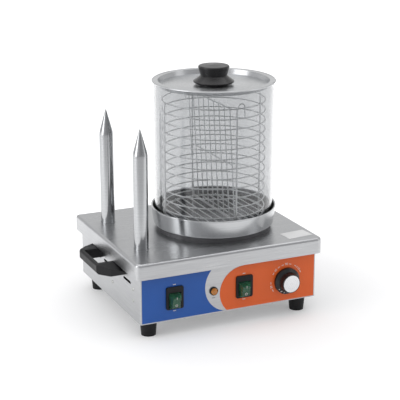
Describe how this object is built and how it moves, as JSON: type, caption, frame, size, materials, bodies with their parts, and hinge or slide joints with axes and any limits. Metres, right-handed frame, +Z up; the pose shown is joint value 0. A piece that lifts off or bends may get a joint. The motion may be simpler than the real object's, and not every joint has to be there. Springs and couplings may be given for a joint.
{
  "type": "hot dog spike machine",
  "caption": "Table-top sausage steamer with a lidded glass cylinder, wire basket and divider, upright heated bun spikes, side handles and a front control panel.",
  "frame": {"origin": "on the floor plane under the middle of the deck tray", "axes": "+X to the right seen from the control panel, +Y from the control panel to the rear, +Z up"},
  "size_m": [0.3942, 0.3148, 0.4095],
  "materials": {
    "sheet_steel": "brushed stainless sheet",
    "polished_steel": "polished stainless steel",
    "bright_wire": "bright steel wire",
    "zinc_steel": "zinc plated",
    "blue_film": "satin printed film",
    "orange_film": "satin printed film",
    "label_plate": "satin film",
    "black_rubber": "moulded rubber",
    "black_plastic": "moulded, semi-gloss",
    "hot_plate": "dark cast plate",
    "element_sheath": "dull metal sheath",
    "glass": "clear heat-proof glass",
    "green_rocker": "translucent green",
    "clear_cover": "soft translucent cover",
    "amber_lens": "translucent amber",
    "satin_cap": "spun aluminium",
    "stat_body": "plated case",
    "copper": "drawn copper tube",
    "white_nylon": "nylon",
    "wire_sleeve": "heat-proof sleeve"
  },
  "bodies": {
    "root": {"deck_tray": "sheet_steel", "housing": "sheet_steel", "bottom_cover": "sheet_steel", "spike_rear": "polished_steel", "spike_front": "polished_steel", "foot_screws": "zinc_steel", "foot_nuts": "zinc_steel", "cover_screws": "zinc_steel", "side_rivets": "zinc_steel", "handle_screws": "zinc_steel", "plate_stud": "zinc_steel", "clamp_bridge": "zinc_steel", "clamp_nut": "zinc_steel", "spike_nuts": "zinc_steel", "lamp_nut": "zinc_steel", "thermostat_screws": "zinc_steel", "bulb_clip": "zinc_steel", "blue_film": "blue_film", "orange_film": "orange_film", "label_plate": "label_plate", "foot_front_left": "black_rubber", "foot_front_right": "black_rubber", "foot_rear_left": "black_rubber", "foot_rear_right": "black_rubber", "handle_left": "black_plastic", "handle_right": "black_plastic", "switch_body_left": "black_plastic", "switch_body_right": "black_plastic", "lamp_bezel": "black_plastic", "cable_gland": "black_plastic", "gland_nut": "black_plastic", "hot_plate": "hot_plate", "heating_element": "element_sheath", "spike_heater_rear": "element_sheath", "spike_heater_front": "element_sheath", "lamp_lens": "amber_lens", "thermostat_body": "stat_body", "thermostat_bulb": "copper", "capillary_tube": "copper", "terminal_block": "white_nylon", "wiring": "wire_sleeve"},
    "pan": {"water_pan": "polished_steel"},
    "glass": {"glass_cylinder": "glass"},
    "lid": {"lid": "polished_steel", "lid_knob": "black_plastic", "lid_screw": "zinc_steel", "lid_washer": "zinc_steel"},
    "basket": {"basket_rings": "bright_wire", "basket_rods": "bright_wire", "basket_floor": "bright_wire"},
    "divider": {"basket_divider": "bright_wire"},
    "left_rocker": {"rocker_left": "green_rocker", "splash_cover_left": "clear_cover"},
    "right_rocker": {"rocker_right": "green_rocker", "splash_cover_right": "clear_cover"},
    "heat_dial": {"thermostat_knob": "black_plastic", "knob_cap": "satin_cap", "thermostat_shaft": "zinc_steel"}
  },
  "joints": [
    {"name": "pan_lift", "type": "slide", "parent": "root", "child": "pan", "axis": [0, 0, 1], "range_m": [0, 0.12]},
    {"name": "glass_lift", "type": "slide", "parent": "pan", "child": "glass", "axis": [0, 0, 1], "range_m": [0, 0.26]},
    {"name": "lid_lift", "type": "slide", "parent": "glass", "child": "lid", "axis": [0, 0, 1], "range_m": [0, 0.15]},
    {"name": "basket_lift", "type": "slide", "parent": "pan", "child": "basket", "axis": [0, 0, 1], "range_m": [0, 0.012]},
    {"name": "divider_lift", "type": "slide", "parent": "basket", "child": "divider", "axis": [0, 0, 1], "range_m": [0, 0.006]},
    {"name": "left_rocker_tilt", "type": "hinge", "parent": "root", "child": "left_rocker", "pos_m": [-0.0992, -0.13455, 0.061], "axis": [1, 0, 0], "range_deg": [-20, 0]},
    {"name": "right_rocker_tilt", "type": "hinge", "parent": "root", "child": "right_rocker", "pos_m": [0.0248, -0.13455, 0.061], "axis": [1, 0, 0], "range_deg": [-20, 0]},
    {"name": "heat_dial_turn", "type": "hinge", "parent": "root", "child": "heat_dial", "pos_m": [0.103, -0.13755, 0.063], "axis": [0, 1, 0], "range_deg": [0, 210]}
  ]
}
